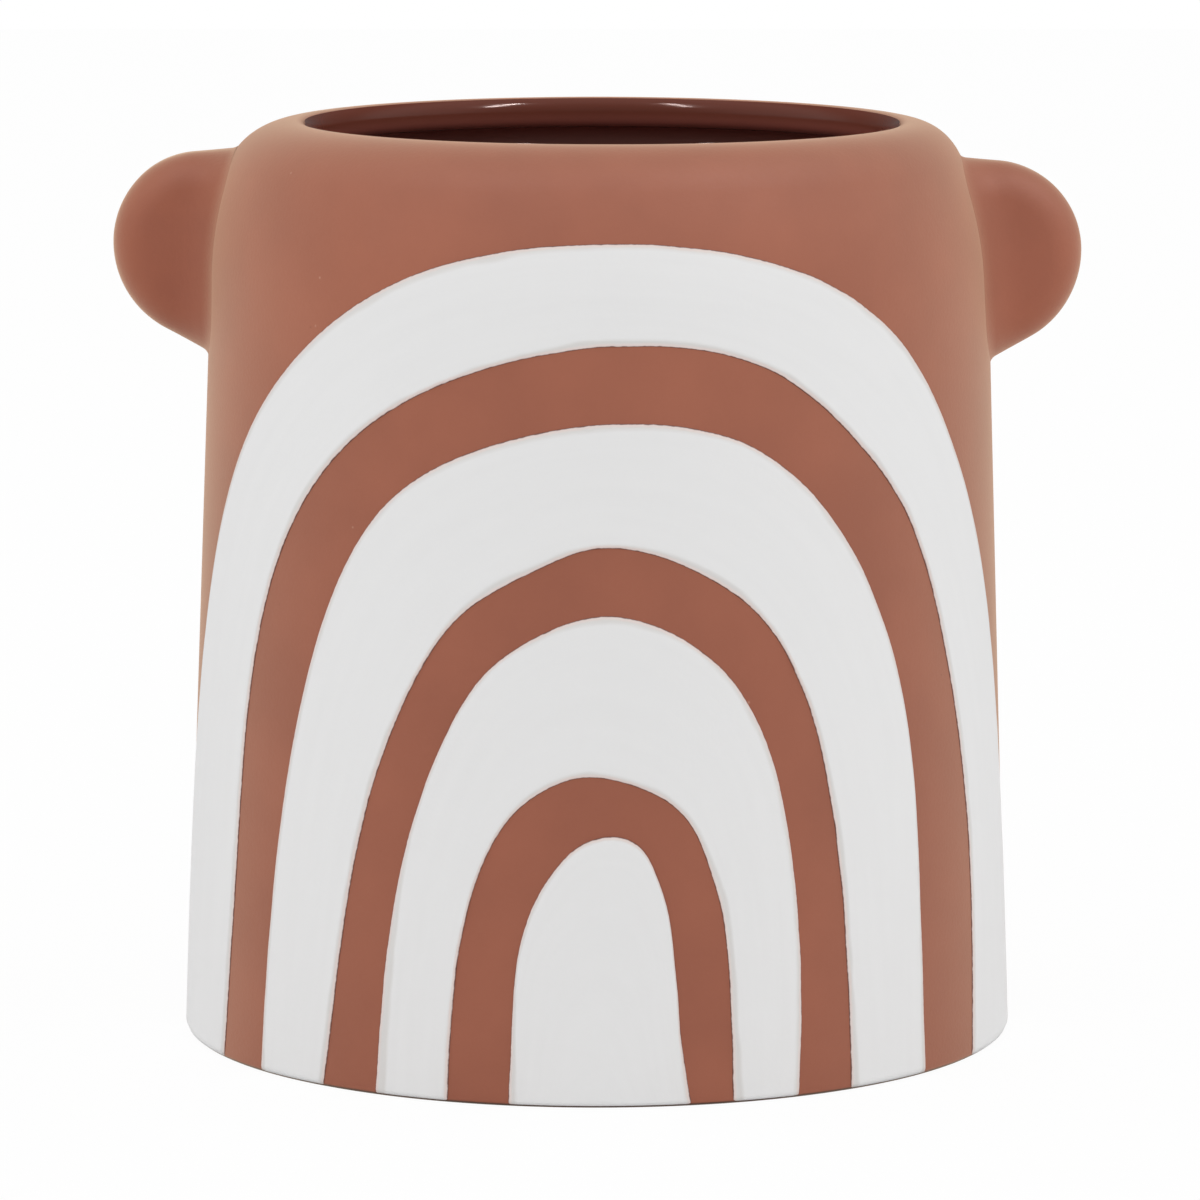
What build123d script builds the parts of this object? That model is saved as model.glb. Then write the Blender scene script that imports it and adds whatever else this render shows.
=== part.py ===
from build123d import *
import os
from dataclasses import dataclass
from itertools import accumulate
from math import cos, dist, radians, sin, sqrt, tan

# A round terracotta jar: drum wall, floor, inturned shoulder with a rolled lip, two ear lugs,
# a glaze lining, and four bands of raised white slip that make a pattern of arches on the front.
# Sizes are millimetres and degrees. The jar stands on z = 0, its axis is Z and its front faces -Y.

# Clay body
height = 175.4  # table to the crest of the lip
foot_radius = 79.6
wall_lean = 2.0  # the drum narrows upwards by this angle
wall = 5.5  # thickness of the clay
foot_edge = 1.0  # rounding of the outer foot edge
haunch_radius = 66.0  # long curve that turns the drum into the shoulder
shoulder_radius = 12.5  # short curve that turns the shoulder in to the lip
lip_inset = 14.9  # crest of the lip, in from the drum's own line at that height

# Floor
foot_recess = 2.0  # the floor's underside stands clear of the table by this much
floor_thickness = 6.0
floor_corner = 4.0  # rounding of the glaze where the floor meets the wall

# Glaze
glaze = 0.4
glaze_reach = 48.0  # how far up the lip's inner round the glaze climbs

# Lugs
lug_reach = 18.6  # tip of a lug, out from the wall at the tip's height
lug_crown_radius = 16.8  # curve from the tip to the top edge
lug_crown_slope = 4.5  # rise of the top edge towards the wall
lug_chin_radius = 18.4  # curve from the tip to the lower edge
lug_chin_slope = 28.0  # fall of the lower edge towards the wall
lug_thickness = 15.0
lug_edge = 6.5  # rounding of the lug's rim
lug_root = 2.0  # smoothed root where the lug is luted to the wall
lug_bite = 0.15  # the root's curve starts this deep in the wall, so that its edge is no feather
left_lug_drop = 23.3  # crest of the lip down to the tip of the lug
right_lug_drop = 24.9

# White slip
slip = 0.4  # how far the bands stand proud of the clay
slip_lift = 0.3  # the bands stop this far above the table
outer_arch_drop = 17.2  # crest of the lip down to the crown of the outer arch
outer_arch_width = 17.7  # widths are taken at the crowns
outer_stripe_width = 14.9
middle_arch_width = 22.6
middle_stripe_width = 12.4
inner_arch_width = 29.2
inner_stripe_width = 11.5

# Profile of the clay body, in the half-plane of radius and height
lean = radians(wall_lean)
up_wall = Vector(-sin(lean), cos(lean))
out_of_wall = Vector(cos(lean), sin(lean))
lip_radius = foot_radius - height * tan(lean) - lip_inset
lip_centre = Vector(lip_radius, height - wall / 2)
shoulder_turn = min(shoulder_radius, lip_inset)
shoulder_centre = Vector(lip_radius, height - shoulder_turn)

# The haunch touches both the drum's line and the shoulder's curve
shoulder_depth = out_of_wall.dot(Vector(foot_radius, 0) - shoulder_centre)
haunch_back = haunch_radius - shoulder_depth
haunch_below = sqrt((haunch_radius - shoulder_turn) ** 2 - haunch_back**2)
haunch_centre = shoulder_centre - out_of_wall * haunch_back - up_wall * haunch_below
to_shoulder = (shoulder_centre - haunch_centre).normalized()


def profile_points(proud):
    """Foot, start of the haunch, start of the shoulder and lip crest, moved outwards by proud."""
    foot = Vector(foot_radius + proud / cos(lean), 0)
    haunch = haunch_centre + out_of_wall * (haunch_radius + proud)
    shoulder = haunch_centre + to_shoulder * (haunch_radius + proud)
    crest = shoulder_centre + Vector(0, shoulder_turn + proud)
    return foot, haunch, shoulder, crest


def jar_face(proud):
    """Half-section of the jar as if it were solid, moved outwards by proud."""
    foot, haunch, shoulder, crest = profile_points(proud)
    with BuildSketch() as face:
        with BuildLine():
            drum = Line(foot, haunch)
            haunch_arc = TangentArc(haunch, shoulder, tangent=drum % 1)
            TangentArc(shoulder, crest, tangent=haunch_arc % 1)
            Polyline(crest, (0, crest.Y), (0, 0), foot)
        make_face()
        fillet(face.vertices().sort_by(Axis.X)[-1], foot_edge)
    return face.sketch


def outer_radius(level):
    """Outer radius of the clay at a height below the shoulder's curve."""
    if level < outer_haunch.Y:
        return foot_radius - level * tan(lean)
    return haunch_centre.X + sqrt(haunch_radius**2 - (level - haunch_centre.Y) ** 2)


outer_foot, outer_haunch, outer_shoulder, outer_crest = profile_points(0)
inner_foot, inner_haunch, inner_shoulder, inner_crest = profile_points(-wall)
glaze_foot, glaze_haunch, glaze_shoulder, glaze_crest = profile_points(-wall - glaze)
floor_top = foot_recess + floor_thickness
clay_corner = Vector(inner_foot.X - floor_top * tan(lean), floor_top)

# Drum wall, standing on its own rim
with BuildPart() as side_wall:
    with BuildSketch(Plane.XZ) as section:
        with BuildLine():
            Polyline(outer_foot, outer_haunch, inner_haunch, inner_foot, close=True)
        make_face()
        fillet(section.vertices().sort_by(Axis.X)[-1], foot_edge)
    revolve(axis=Axis.Z)

# Floor, luted inside the foot of the wall
with BuildPart() as floor_disc:
    with BuildSketch(Plane.XZ):
        with BuildLine():
            rim_under = (inner_foot.X - foot_recess * tan(lean), foot_recess)
            Polyline((0, foot_recess), rim_under, clay_corner, (0, floor_top), close=True)
        make_face()
    revolve(axis=Axis.Z)

# Inturned shoulder, ending in a full-round lip
with BuildPart() as shoulder_ring:
    with BuildSketch(Plane.XZ):
        with BuildLine():
            haunch_arc = TangentArc(outer_haunch, outer_shoulder, tangent=up_wall)
            shoulder_arc = TangentArc(outer_shoulder, outer_crest, tangent=haunch_arc % 1)
            lip_arc = TangentArc(outer_crest, inner_crest, tangent=shoulder_arc % 1)
            under_arc = TangentArc(inner_crest, inner_shoulder, tangent=lip_arc % 1)
            TangentArc(inner_shoulder, inner_haunch, tangent=under_arc % 1)
            Line(inner_haunch, outer_haunch)
        make_face()
    revolve(axis=Axis.Z)

# Glaze, from the lip's inner round over the wall and the floor
reach = radians(glaze_reach)
lip_to_glaze = Vector(-cos(reach), sin(reach))
down_lip = Vector(-sin(reach), -cos(reach))
glaze_floor = floor_top + glaze
glaze_corner = Vector(glaze_foot.X - glaze_floor * tan(lean), glaze_floor)
with BuildPart() as glaze_lining:
    with BuildSketch(Plane.XZ) as section:
        with BuildLine():
            lip_arc = TangentArc(lip_centre + lip_to_glaze * (wall / 2), inner_crest, tangent=down_lip)
            under_arc = TangentArc(inner_crest, inner_shoulder, tangent=lip_arc % 1)
            TangentArc(inner_shoulder, inner_haunch, tangent=under_arc % 1)
            Polyline(inner_haunch, clay_corner, (0, floor_top), (0, glaze_floor), glaze_corner, glaze_haunch)
            haunch_arc = TangentArc(glaze_haunch, glaze_shoulder, tangent=up_wall)
            under_arc = TangentArc(glaze_shoulder, glaze_crest, tangent=haunch_arc % 1)
            glaze_edge = lip_centre + lip_to_glaze * (wall / 2 + glaze)
            TangentArc(glaze_crest, glaze_edge, tangent=under_arc % 1)
            Line(glaze_edge, lip_arc @ 0)
        make_face()
        fillet(section.vertices().sort_by_distance(glaze_corner)[0], floor_corner)
    revolve(axis=Axis.Z)

# Ear lugs, each pressed to the wall with a smoothed root
jar_core = revolve(Plane.YZ * jar_face(0), axis=Axis.Z)
root_core = revolve(Plane.YZ * jar_face(-lug_bite), axis=Axis.Z)
crown_turn = radians(lug_crown_slope)
chin_turn = radians(lug_chin_slope)
lugs = []
for side, drop in ((-1, left_lug_drop), (1, right_lug_drop)):
    level = height - drop
    tip = outer_radius(level) + lug_reach
    crown_end = tip - lug_crown_radius * (1 - sin(crown_turn))
    crown_top = level + lug_crown_radius * cos(crown_turn)
    chin_end = tip - lug_chin_radius * (1 - sin(chin_turn))
    chin_low = level - lug_chin_radius * cos(chin_turn)
    root_top = crown_top + (crown_end - lip_radius) * tan(crown_turn)
    root_low = chin_low - (chin_end - lip_radius) * tan(chin_turn)
    with BuildPart() as lug:
        with BuildSketch(Plane.XZ):
            with BuildLine():
                top_edge = Line((side * lip_radius, root_top), (side * crown_end, crown_top))
                crown_arc = TangentArc(top_edge @ 1, (side * tip, level), tangent=top_edge % 1)
                chin_arc = TangentArc(crown_arc @ 1, (side * chin_end, chin_low), tangent=crown_arc % 1)
                Polyline(chin_arc @ 1, (side * lip_radius, root_low), top_edge @ 0)
            make_face()
        extrude(amount=lug_thickness / 2, both=True)
        faces = lug.faces().filter_by(Axis.Y)
        fillet(faces.edges().filter_by(lambda edge: abs(edge.center().X) > lip_radius + lug_edge), lug_edge)
        add(root_core)
        fillet(lug.edges(Select.NEW), lug_root)
        add(jar_core, mode=Mode.SUBTRACT)
    lugs.append(lug)


# Edges of the slip bands. Each is drawn by hand as half-widths left and right of the front line, in
# millimetres round the foot, at stations given as shares of the edge's own rise.
stations = (0.0, 0.30, 0.55, 0.75, 0.88, 0.96)


@dataclass(frozen=True)
class ArchEdge:
    """One drawn edge of a slip band."""

    crown: float  # height of the top of the edge
    crown_shift: float  # how far the crown stands right of the front line
    left: tuple
    right: tuple

    def drawn(self):
        """Points of the edge laid flat, from the left foot over the crown to the right foot."""
        points = [(-half, share * self.crown) for half, share in zip(self.left, stations)]
        points.append((self.crown_shift, self.crown))
        points += [(half, share * self.crown) for half, share in zip(self.right[::-1], stations[::-1])]
        return points

    def wrapped(self, radius):
        """Smooth curve through the drawn points, wrapped round the jar at a radius."""
        drawn = self.drawn()
        run = list(accumulate(map(dist, drawn, drawn[1:]), initial=0))
        turns = [(across / foot_radius, level) for across, level in drawn]
        points = [(radius * sin(turn), -radius * cos(turn), level) for turn, level in turns]
        return Edge.make_spline(points, parameters=run)

    def blade(self):
        """Sheet through the edge that stands square to the jar's axis all along."""
        return Face.make_surface_from_curves(self.wrapped(lip_radius), self.wrapped(foot_radius + lug_reach))


outer_arch_crown = height - outer_arch_drop
outer_stripe_crown = outer_arch_crown - outer_arch_width
middle_arch_crown = outer_stripe_crown - outer_stripe_width
middle_stripe_crown = middle_arch_crown - middle_arch_width
inner_arch_crown = middle_stripe_crown - middle_stripe_width
inner_stripe_crown = inner_arch_crown - inner_arch_width
tongue_crown = inner_stripe_crown - inner_stripe_width

outer_arch_edge = ArchEdge(
    crown=outer_arch_crown,
    crown_shift=2,
    left=(123.5, 116, 101.5, 82.5, 60, 36),
    right=(125, 115, 102.5, 84, 65, 41.5),
)
outer_stripe_edge = ArchEdge(
    crown=outer_stripe_crown,
    crown_shift=6.5,
    left=(86.5, 82.5, 78, 66, 48, 24),
    right=(87.5, 88.5, 81, 69, 50.5, 34.5),
)
middle_arch_edge = ArchEdge(
    crown=middle_arch_crown,
    crown_shift=4,
    left=(72.5, 69.5, 63, 53.5, 41, 22),
    right=(70, 69.5, 66.5, 56.5, 44, 30),
)
middle_stripe_edge = ArchEdge(
    crown=middle_stripe_crown,
    crown_shift=-1.5,
    left=(55, 51, 45, 36, 26, 12.5),
    right=(50.5, 49.5, 46.5, 40.5, 31, 19),
)
inner_arch_edge = ArchEdge(
    crown=inner_arch_crown,
    crown_shift=2,
    left=(43, 40.5, 36, 29, 21, 10.5),
    right=(38.5, 39, 37, 32, 24.5, 14.5),
)
inner_stripe_edge = ArchEdge(
    crown=inner_stripe_crown,
    crown_shift=-2.5,
    left=(28, 27.5, 25, 21, 16.5, 10),
    right=(25.5, 25.5, 24, 21, 16.5, 9.5),
)
tongue_edge = ArchEdge(
    crown=tongue_crown,
    crown_shift=4,
    left=(16.5, 15.5, 14.5, 11.5, 7.5, 3.5),
    right=(17.5, 15, 14, 12.5, 10.5, 8),
)

# A coat of slip all round, from which each band is cut
with BuildPart() as coat:
    with BuildSketch(Plane.YZ):
        add(jar_face(slip))
        add(jar_face(0), mode=Mode.SUBTRACT)
        with Locations((0, slip_lift)):
            below = 4 * (foot_radius + slip)
            Rectangle(below, below, align=(Align.CENTER, Align.MAX), mode=Mode.SUBTRACT)
    revolve(axis=Axis.Z)

slip_bands = {
    "outer_arch": (outer_arch_edge, outer_stripe_edge),
    "middle_arch": (middle_arch_edge, middle_stripe_edge),
    "inner_arch": (inner_arch_edge, inner_stripe_edge),
    "centre_tongue": (tongue_edge,),
}
bands = []
for edges in slip_bands.values():
    lower_crown = edges[1].crown if len(edges) > 1 else 0
    level = (edges[0].crown + lower_crown) / 2
    with BuildPart() as band:
        add(coat.part)
        for edge in edges:
            split(bisect_by=edge.blade(), keep=Keep.ALL)
        crown_middle = (0, -outer_radius(level) - slip / 2, level)
        add(band.solids().sort_by_distance(crown_middle)[0], mode=Mode.REPLACE)
    bands.append(band)

pieces = {
    "side_wall": side_wall,
    "floor_disc": floor_disc,
    "shoulder_ring": shoulder_ring,
    "glaze_lining": glaze_lining,
    "left_lug": lugs[0],
    "right_lug": lugs[1],
    **dict(zip(slip_bands, bands)),
}
os.makedirs("parts", exist_ok=True)
for name, piece in pieces.items():
    piece.part.label = name
    export_step(piece.part, f"parts/{name}.step")
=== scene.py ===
import logging
from dataclasses import dataclass
from enum import Enum
from functools import cached_property
from itertools import accumulate
from math import atan2, ceil, copysign, cos, dist, pi, radians, sin, sqrt, tan

import bmesh
import bpy
import numpy as np
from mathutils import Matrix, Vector, noise


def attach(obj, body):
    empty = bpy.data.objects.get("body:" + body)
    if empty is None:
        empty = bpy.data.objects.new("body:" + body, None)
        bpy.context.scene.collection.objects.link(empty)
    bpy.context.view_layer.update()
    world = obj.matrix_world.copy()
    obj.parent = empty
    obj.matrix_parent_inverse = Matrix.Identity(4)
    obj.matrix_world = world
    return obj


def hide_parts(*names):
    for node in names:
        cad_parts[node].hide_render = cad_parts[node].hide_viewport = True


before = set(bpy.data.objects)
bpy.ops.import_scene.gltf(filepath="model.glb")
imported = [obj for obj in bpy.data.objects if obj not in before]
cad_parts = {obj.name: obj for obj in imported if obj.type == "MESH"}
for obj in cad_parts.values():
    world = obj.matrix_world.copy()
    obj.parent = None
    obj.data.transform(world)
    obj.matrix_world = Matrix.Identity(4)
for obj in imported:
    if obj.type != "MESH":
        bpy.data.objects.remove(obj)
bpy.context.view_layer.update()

# A round terracotta jar: two ear lugs, dark glaze inside, arches of white slip on the front.
# Sizes in the classes are millimetres and degrees, as on a potter's drawing; meshes are metres.

LOG = logging.getLogger("jar")
MM = 0.001
# Points closer than these are joined, or taken to lie on a cut
WELD = 0.001 * MM
SPIN_WELD = 0.002 * MM
CUT_SNAP = 0.0005 * MM
# Keeps points on the axis from a division by zero
TINY = 1e-6


def linear(code: str) -> tuple[float, float, float, float]:
    """Turn an sRGB hex code into a linear colour.

    Args:
        code: Six hex digits after a hash sign.

    Returns:
        Red, green, blue and an alpha of one.
    """
    parts = [int(code[place : place + 2], 16) / 255 for place in (1, 3, 5)]
    bent = [part / 12.92 if part <= 0.04045 else ((part + 0.055) / 1.055) ** 2.4 for part in parts]
    return (*bent, 1.0)


def per_mm(size: float) -> float:
    """Texture scale whose features are about this many millimetres across."""
    return 1 / (size * MM)


def add_node(
    tree: bpy.types.NodeTree, kind: str, inputs: dict[str | int, object], **settings: object
) -> bpy.types.Node:
    """Add a shader node with its settings, values and links.

    Args:
        tree: Node tree that gets the node.
        kind: Blender's name of the node type.
        inputs: Sockets by name or number, each with a value or the output that feeds it.
        settings: Properties of the node itself.

    Returns:
        The new node.
    """
    node = tree.nodes.new(kind)
    for key, value in settings.items():
        setattr(node, key, value)
    for key, value in inputs.items():
        if isinstance(value, bpy.types.NodeSocket):
            tree.links.new(value, node.inputs[key])
        else:
            node.inputs[key].default_value = value
    return node


def new_finish(name: str) -> tuple[bpy.types.Material, bpy.types.NodeTree, bpy.types.Node]:
    """Start a node material.

    Args:
        name: Name of the real material.

    Returns:
        The material, its node tree and its shader.
    """
    material = bpy.data.materials.new(name)
    material.use_nodes = True
    tree = material.node_tree
    return material, tree, tree.nodes["Principled BSDF"]


class Slot(Enum):
    """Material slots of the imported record."""

    CLAY = "terracotta"
    SLIP = "white_slip"
    GLAZE = "dark_glaze"


class LampUse(Enum):
    """What a lamp is hung for."""

    FILL = "lights the jar"
    GLINT = "shows only in the glaze"


@dataclass(frozen=True)
class FiredTerracotta:
    """Unglazed red earthenware: cloudy colour, sandy grain, a few pale and dark grits."""

    name: str = "fired_terracotta"
    light: str = "#A05E47"
    dark: str = "#995943"
    # Painted shade: multiplies the clay darker from the shoulder down
    lower_shade: str = "#F3F1F1"
    lower_shade_levels: tuple[float, float] = (95.0, 155.0)
    # Painted shadow: darkens the foot's lowest edge as its contact shadow would
    foot_shadow: str = "#574641"
    foot_shadow_levels: tuple[float, float] = (0.35, 0.75)
    pale_grit: str = "#C39A85"
    dark_grit: str = "#5A3329"
    pale_lots: tuple[float, float] = (0.0, 0.30)
    dark_lots: tuple[float, float] = (0.86, 1.0)
    cloud: float = 22.0
    cloud_range: tuple[float, float] = (0.35, 0.65)
    grain: float = 0.7
    grain_depth: float = 0.12
    grain_strength: float = 0.25
    grit_spacing: float = 6.5
    grit: float = 0.42
    grit_core: float = 0.05
    smallest_grit: float = 0.3
    grit_share: float = 0.5
    bloom: float = 0.56
    bloom_tint: str = "#FFE6C6"
    bloom_roughness: float = 0.45
    roughness: float = 0.62
    roughness_spread: float = 0.08
    specular: float = 0.3

    def in_cells(self, share: float) -> float:
        """A share of the largest grit's radius, in cells of the grits' lattice."""
        return share * self.grit / self.grit_spacing

    def material(self) -> bpy.types.Material:
        """Build the node material.

        Returns:
            The clay's material.
        """
        material, tree, shader = new_finish(self.name)
        place = add_node(tree, "ShaderNodeTexCoord", {}).outputs["Object"]
        # Slow clouds of lighter and darker red, from the firing
        cloud = add_node(
            tree,
            "ShaderNodeTexNoise",
            {"Vector": place, "Scale": per_mm(self.cloud), "Detail": 4.0},
        ).outputs["Fac"]
        low, high = self.cloud_range
        share = add_node(
            tree, "ShaderNodeMapRange", {"Value": cloud, "From Min": low, "From Max": high}
        ).outputs["Result"]
        colour = add_node(
            tree,
            "ShaderNodeMix",
            {0: share, 6: linear(self.light), 7: linear(self.dark)},
            data_type="RGBA",
        ).outputs[2]
        # Painted shade: the clay is a shade darker below the shoulder, where less light falls; a
        # painted contact shadow darkens the foot's edge
        level = add_node(tree, "ShaderNodeSeparateXYZ", {"Vector": place}).outputs["Z"]
        for code, (low, high) in (
            (self.lower_shade, self.lower_shade_levels),
            (self.foot_shadow, self.foot_shadow_levels),
        ):
            depth = add_node(
                tree,
                "ShaderNodeMapRange",
                {
                    "Value": level,
                    "From Min": low * MM,
                    "From Max": high * MM,
                    "To Min": 1.0,
                    "To Max": 0.0,
                },
                interpolation_type="SMOOTHSTEP",
            ).outputs["Result"]
            colour = add_node(
                tree,
                "ShaderNodeMix",
                {0: depth, 6: colour, 7: linear(code)},
                data_type="RGBA",
                blend_type="MULTIPLY",
            ).outputs[2]
        # Grits: a small dot in some cells of a loose lattice, pale in some and dark in fewer
        lattice = add_node(
            tree, "ShaderNodeTexVoronoi", {"Vector": place, "Scale": per_mm(self.grit_spacing)}
        )
        lots = add_node(
            tree, "ShaderNodeSeparateColor", {"Color": lattice.outputs["Color"]}
        ).outputs
        size = add_node(
            tree,
            "ShaderNodeMapRange",
            {
                "Value": lots["Green"],
                "To Min": self.in_cells(self.smallest_grit),
                "To Max": self.in_cells(1.0),
            },
        ).outputs["Result"]
        dot = add_node(
            tree,
            "ShaderNodeMapRange",
            {
                "Value": lattice.outputs["Distance"],
                "From Min": self.in_cells(self.grit_core),
                "From Max": size,
                "To Min": self.grit_share,
                "To Max": 0.0,
            },
        ).outputs["Result"]
        for code, (low, high) in (
            (self.pale_grit, self.pale_lots),
            (self.dark_grit, self.dark_lots),
        ):
            seen = dot
            for end, test in ((low, "GREATER_THAN"), (high, "LESS_THAN")):
                chosen = add_node(
                    tree, "ShaderNodeMath", {0: lots["Red"], 1: end}, operation=test
                ).outputs[0]
                seen = add_node(
                    tree, "ShaderNodeMath", {0: seen, 1: chosen}, operation="MULTIPLY"
                ).outputs[0]
            colour = add_node(
                tree, "ShaderNodeMix", {0: seen, 6: colour, 7: linear(code)}, data_type="RGBA"
            ).outputs[2]
        # Fine sand, in the relief and in the gloss
        sand = add_node(
            tree,
            "ShaderNodeTexNoise",
            {"Vector": place, "Scale": per_mm(self.grain), "Detail": 3.0},
        ).outputs["Fac"]
        gloss = add_node(
            tree,
            "ShaderNodeMapRange",
            {
                "Value": sand,
                "To Min": self.roughness - self.roughness_spread,
                "To Max": self.roughness + self.roughness_spread,
            },
        ).outputs["Result"]
        relief = add_node(
            tree,
            "ShaderNodeBump",
            {"Height": sand, "Strength": self.grain_strength, "Distance": self.grain_depth * MM},
        ).outputs["Normal"]
        # A dusty bloom that lightens the clay where it turns away
        shader.inputs["Sheen Weight"].default_value = self.bloom
        shader.inputs["Sheen Roughness"].default_value = self.bloom_roughness
        shader.inputs["Sheen Tint"].default_value = linear(self.bloom_tint)
        shader.inputs["Specular IOR Level"].default_value = self.specular
        tree.links.new(colour, shader.inputs["Base Color"])
        tree.links.new(gloss, shader.inputs["Roughness"])
        tree.links.new(relief, shader.inputs["Normal"])
        return material


@dataclass(frozen=True)
class WhiteSlip:
    """Matte white engobe: brushed along the band and so sparse at its edges that the clay tints
    it; grey where only the first coat lies, partly painted shade.
    """

    name: str = "white_slip_engobe"
    coat: str = "#E3E3E3"
    streak: str = "#DFDFDF"
    # Grey of the first coat alone: partly its own tint, partly painted shade of the second coat's
    # step
    thin_coat_and_shade: str = "#D4D2D0"
    rim: str = "#DCCEC9"
    stain: str = "#6B4035"
    thin_coat_and_shade_reach: tuple[float, float] = (0.0, 1.0)
    rim_reach: tuple[float, float] = (0.45, 1.05)
    stain_reach: tuple[float, float] = (0.19, 0.42)
    fray: float = 0.32
    fray_size: float = 1.3
    streak_length: float = 40.0
    streak_width: float = 2.2
    grain: float = 0.9
    grain_depth: float = 0.1
    grain_strength: float = 0.2
    roughness: float = 0.72
    roughness_spread: float = 0.06

    def material(self) -> bpy.types.Material:
        """Build the node material.

        Returns:
            The slip's material.
        """
        material, tree, shader = new_finish(self.name)
        # Brush marks run along the band, whose own map is in metres along and across it
        band = add_node(tree, "ShaderNodeUVMap", {}, uv_map="along_and_across").outputs["UV"]
        brushed = add_node(
            tree,
            "ShaderNodeMapping",
            {
                "Vector": band,
                "Scale": (per_mm(self.streak_length), per_mm(self.streak_width), 1.0),
            },
        ).outputs["Vector"]
        marks = add_node(
            tree, "ShaderNodeTexNoise", {"Vector": brushed, "Scale": 1.0, "Detail": 3.0}
        ).outputs["Fac"]
        colour = add_node(
            tree,
            "ShaderNodeMix",
            {0: marks, 6: linear(self.coat), 7: linear(self.streak)},
            data_type="RGBA",
        ).outputs[2]
        # Grey where only the first coat lies, partly painted shade of the second coat's step; a
        # pink rim frayed by bristles; a hair of dark stain
        place = add_node(tree, "ShaderNodeTexCoord", {}).outputs["Object"]
        cover, depth = (
            add_node(tree, "ShaderNodeAttribute", {}, attribute_name=name).outputs["Fac"]
            for name in ("cover_depth", "edge_depth")
        )
        bristles = add_node(
            tree,
            "ShaderNodeTexNoise",
            {"Vector": place, "Scale": per_mm(self.fray_size), "Detail": 2.0},
        ).outputs["Fac"]
        frayed = add_node(
            tree, "ShaderNodeMath", {0: bristles, 1: self.fray, 2: depth}, operation="MULTIPLY_ADD"
        ).outputs[0]
        for code, inset, (near, far) in (
            (self.thin_coat_and_shade, cover, self.thin_coat_and_shade_reach),
            (self.rim, frayed, self.rim_reach),
            (self.stain, frayed, self.stain_reach),
        ):
            share = add_node(
                tree,
                "ShaderNodeMapRange",
                {"Value": inset, "From Min": near, "From Max": far, "To Min": 1.0, "To Max": 0.0},
                interpolation_type="SMOOTHSTEP",
            ).outputs["Result"]
            colour = add_node(
                tree, "ShaderNodeMix", {0: share, 6: colour, 7: linear(code)}, data_type="RGBA"
            ).outputs[2]
        # Chalky grain and brush ridges, in the relief and in the gloss
        chalk = add_node(
            tree,
            "ShaderNodeTexNoise",
            {"Vector": place, "Scale": per_mm(self.grain), "Detail": 2.0},
        ).outputs["Fac"]
        height = add_node(tree, "ShaderNodeMath", {0: chalk, 1: marks}, operation="ADD").outputs[0]
        relief = add_node(
            tree,
            "ShaderNodeBump",
            {"Height": height, "Strength": self.grain_strength, "Distance": self.grain_depth * MM},
        ).outputs["Normal"]
        gloss = add_node(
            tree,
            "ShaderNodeMapRange",
            {
                "Value": chalk,
                "To Min": self.roughness - self.roughness_spread,
                "To Max": self.roughness + self.roughness_spread,
            },
        ).outputs["Result"]
        tree.links.new(colour, shader.inputs["Base Color"])
        tree.links.new(gloss, shader.inputs["Roughness"])
        tree.links.new(relief, shader.inputs["Normal"])
        return material


@dataclass(frozen=True)
class DarkGlaze:
    """Glossy red-brown glaze: even in the jar, lighter and redder under the lip's roll as painted
    light, darker over it.
    """

    name: str = "dark_brown_glaze"
    pooled: str = "#80544C"
    flowing: str = "#895D56"
    # Painted light: the lit red of the band under the lip's roll
    lit_under_roll: str = "#965549"
    breaking: str = "#673529"
    cloud: float = 14.0
    lit_under_roll_levels: tuple[float, float] = (166.0, 169.5)
    break_levels: tuple[float, float] = (170.4, 172.9)
    wave_depth: float = 0.3
    wave_strength: float = 0.3
    roughness: float = 0.12
    smoother: float = 0.04
    rougher: float = 0.06
    specular: float = 0.15

    def material(self) -> bpy.types.Material:
        """Build the node material.

        Returns:
            The glaze's material.
        """
        material, tree, shader = new_finish(self.name)
        place = add_node(tree, "ShaderNodeTexCoord", {}).outputs["Object"]
        # Slow variation in the depth of the melt
        cloud = add_node(
            tree,
            "ShaderNodeTexNoise",
            {"Vector": place, "Scale": per_mm(self.cloud), "Detail": 3.0},
        ).outputs["Fac"]
        colour = add_node(
            tree,
            "ShaderNodeMix",
            {0: cloud, 6: linear(self.pooled), 7: linear(self.flowing)},
            data_type="RGBA",
        ).outputs[2]
        # Painted light: the glaze is lighter and redder under the lip's roll, where light catches
        # it; it breaks, thinning and darkening, over the roll itself
        level = add_node(tree, "ShaderNodeSeparateXYZ", {"Vector": place}).outputs["Z"]
        for code, (low, high) in (
            (self.lit_under_roll, self.lit_under_roll_levels),
            (self.breaking, self.break_levels),
        ):
            share = add_node(
                tree,
                "ShaderNodeMapRange",
                {"Value": level, "From Min": low * MM, "From Max": high * MM},
                interpolation_type="SMOOTHSTEP",
            ).outputs["Result"]
            colour = add_node(
                tree, "ShaderNodeMix", {0: share, 6: colour, 7: linear(code)}, data_type="RGBA"
            ).outputs[2]
        # The melt is not quite level, so its reflections run and break
        ripple = add_node(
            tree,
            "ShaderNodeBump",
            {"Height": cloud, "Strength": self.wave_strength, "Distance": self.wave_depth * MM},
        ).outputs["Normal"]
        gloss = add_node(
            tree,
            "ShaderNodeMapRange",
            {
                "Value": cloud,
                "To Min": self.roughness - self.smoother,
                "To Max": self.roughness + self.rougher,
            },
        ).outputs["Result"]
        tree.links.new(colour, shader.inputs["Base Color"])
        tree.links.new(gloss, shader.inputs["Roughness"])
        tree.links.new(ripple, shader.inputs["Normal"])
        # A weak, sharp shine: little more than the bright strips shows in it
        shader.inputs["Specular IOR Level"].default_value = self.specular
        return material


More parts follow.
